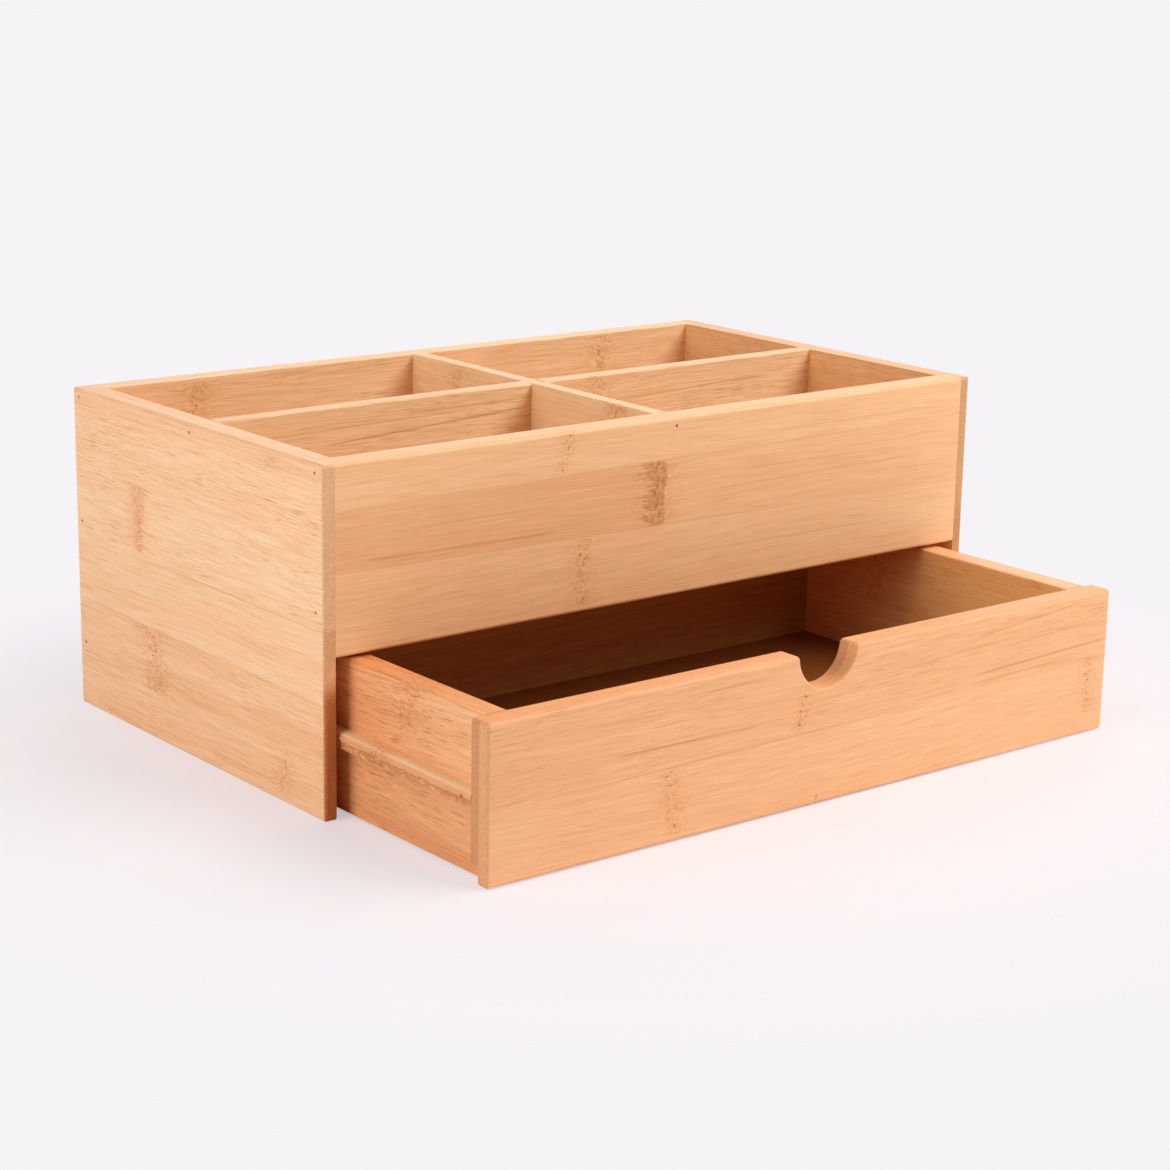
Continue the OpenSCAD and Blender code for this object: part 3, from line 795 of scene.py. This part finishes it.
def fine_runner(node, seed):
    """A runner whose outer face is torn along its lower edge."""
    low, high = node_box(node)
    outer, inner = (low[0], high[0]) if high[0] < 0 else (high[0], low[0])
    inward = 1 if inner > outer else -1
    height = high[2] - low[2]
    points = []
    for station in range(RUNNER_STATIONS + 1):
        along = low[1] + (high[1] - low[1]) * station / RUNNER_STATIONS
        points.append((inner, along, low[2]))
        for step in range(RUNNER_LEVELS + 1):
            level = height * step / RUNNER_LEVELS
            radius = RUNNER_EASE if step * 2 < RUNNER_LEVELS else RUNNER_TOP_EASE
            gap = max(0, radius - min(level, height - level))
            ease = radius - math.sqrt(max(radius ** 2 - gap ** 2, 0))
            depth = max(ease, tear(along, level, seed))
            points.append((outer + inward * depth, along, low[2] + level))
        points.append((inner, along, high[2]))
    # Each ring has the levels' points, the last level too, and the inner face's two
    count = RUNNER_LEVELS + 3
    faces = ring_faces(RUNNER_STATIONS + 1, count)
    faces.append(tuple(range(count)))
    faces.append(tuple(reversed(range(len(points) - count, len(points)))))
    runner = solid_object(node + "_torn", points, faces)
    start = outer - PIN_HOLE_PAST if inward > 0 else outer - PIN_HOLE_DEPTH
    cut(runner, [rod_points((start, low[1] + share * (high[1] - low[1]), low[2] + height / 2),
                            PIN_HOLE_DEPTH + PIN_HOLE_PAST, PIN_RADIUS) for share in PIN_SHARES])
    take_place(runner, node, WOODS[node])


# Camera, floor and light

def add_camera():
    forward = Vector((math.sin(CAMERA_YAW) * math.cos(CAMERA_PITCH),
                      math.cos(CAMERA_YAW) * math.cos(CAMERA_PITCH), -math.sin(CAMERA_PITCH)))
    level = Vector((math.cos(CAMERA_YAW), -math.sin(CAMERA_YAW), 0))
    upright = level.cross(forward)
    right = math.cos(CAMERA_ROLL) * level + math.sin(CAMERA_ROLL) * upright
    up = -math.sin(CAMERA_ROLL) * level + math.cos(CAMERA_ROLL) * upright
    data = bpy.data.cameras.new("camera")
    data.sensor_width = SENSOR_MM
    data.lens = FOCAL_PX / FRAME_PX * SENSOR_MM
    data.clip_start, data.clip_end = CLIP_START, CLIP_END
    camera = bpy.data.objects.new("camera", data)
    turn = Matrix((right, up, -forward)).transposed().to_4x4()
    camera.matrix_world = Matrix.Translation(CAMERA_PLACE) @ turn
    bpy.context.scene.collection.objects.link(camera)
    bpy.context.scene.camera = camera


BACKGROUND = srgb(246, 243, 247)
FLOOR_COLOUR = srgb(247, 244, 247)
# Seen by the camera, the floor's own shade is warmer, as the shadows beside bamboo are: painted warm light
# bounced from the bamboo
FLOOR_WARM_BOUNCE = srgb(253, 232, 226)
FLOOR_HALF_SIZE = 12.0
# The floor's own shade gives way to the plain background between these distances
FLOOR_NEAR, FLOOR_FAR = 0.02, 0.36
FLOOR_PLAIN_SHARE = 0.28


def add_floor():
    """A pale floor that shows the object's shadow nearby and the plain background colour far away."""
    mesh = bpy.data.meshes.new("floor")
    reach = FLOOR_HALF_SIZE
    corners = [(-reach, -reach, 0), (reach, -reach, 0), (reach, reach, 0), (-reach, reach, 0)]
    mesh.from_pydata(corners, [], [(0, 1, 2, 3)])
    floor = bpy.data.objects.new("floor", mesh)
    bpy.context.scene.collection.objects.link(floor)
    material, tree = new_material("floor")
    place = coordinates(tree)
    distance = (place["X"] * place["X"] + place["Y"] * place["Y"]).root()
    plain_share = distance.rise(FLOOR_NEAR, FLOOR_FAR) * (1 - FLOOR_PLAIN_SHARE) + FLOOR_PLAIN_SHARE
    matte = tree.nodes.new("ShaderNodeBsdfDiffuse")
    plain = tree.nodes.new("ShaderNodeEmission")
    plain.inputs["Color"].default_value = BACKGROUND
    path = tree.nodes.new("ShaderNodeLightPath")
    seen = Signal(tree, path.outputs["Is Camera Ray"])
    tree.links.new(mix(tree, seen, FLOOR_COLOUR, FLOOR_WARM_BOUNCE), matte.inputs["Color"])
    blend = tree.nodes.new("ShaderNodeMixShader")
    plug(tree, plain_share * seen, blend.inputs[0])
    tree.links.new(matte.outputs[0], blend.inputs[1])
    tree.links.new(plain.outputs[0], blend.inputs[2])
    output = tree.nodes.new("ShaderNodeOutputMaterial")
    tree.links.new(blend.outputs[0], output.inputs[0])
    mesh.materials.append(material)


WORLD_LIGHT = 0.03
WORLD_COLOUR = (1.0, 0.985, 1.0, 1.0)


def add_world():
    world = bpy.data.worlds.new("world")
    bpy.context.scene.world = world
    world.use_nodes = True
    tree = world.node_tree
    tree.nodes.clear()
    light = tree.nodes.new("ShaderNodeBackground")
    light.inputs["Color"].default_value = WORLD_COLOUR
    light.inputs["Strength"].default_value = WORLD_LIGHT
    shown = tree.nodes.new("ShaderNodeBackground")
    shown.inputs["Color"].default_value = BACKGROUND
    path = tree.nodes.new("ShaderNodeLightPath")
    seen = Signal(tree, path.outputs["Is Camera Ray"]).larger(Signal(tree, path.outputs["Is Glossy Ray"]))
    blend = tree.nodes.new("ShaderNodeMixShader")
    plug(tree, seen, blend.inputs[0])
    tree.links.new(light.outputs[0], blend.inputs[1])
    tree.links.new(shown.outputs[0], blend.inputs[2])
    output = tree.nodes.new("ShaderNodeOutputWorld")
    tree.links.new(blend.outputs[0], output.inputs[0])


LAMP_AIM = Vector((0.0, 0.0, 0.06))
LAMP_DISTANCE = 1.6
# Name, direction round from the front to the right and up in degrees, width, height and power
LAMPS = (("left_high", -90, 48, 1.0, 1.0, 7.5),
         ("left_low", -90, 12, 1.0, 0.5, 9.0),
         ("right_front", 45, 42, 1.6, 0.6, 27.0),
         ("right_rear", 135, 40, 1.0, 1.0, 7.0))


def add_lamps():
    for name, azimuth, elevation, width, height, power in LAMPS:
        turn, rise = math.radians(azimuth), math.radians(elevation)
        out = Vector((math.sin(turn) * math.cos(rise), -math.cos(turn) * math.cos(rise), math.sin(rise)))
        data = bpy.data.lights.new(name, "AREA")
        data.shape = "RECTANGLE"
        data.size, data.size_y = width, height
        data.energy = power
        lamp = bpy.data.objects.new(name, data)
        lamp.location = LAMP_AIM + LAMP_DISTANCE * out
        lamp.rotation_euler = (-out).to_track_quat("-Z", "Y").to_euler()
        bpy.context.scene.collection.objects.link(lamp)


WOODS = dress_cad_nodes()
fine_drawer_front()
fine_runner("left_runner", 4.0)
fine_runner("right_runner", 9.0)
add_camera()
add_floor()
add_world()
add_lamps()
bpy.context.scene.view_settings.view_transform = "Standard"
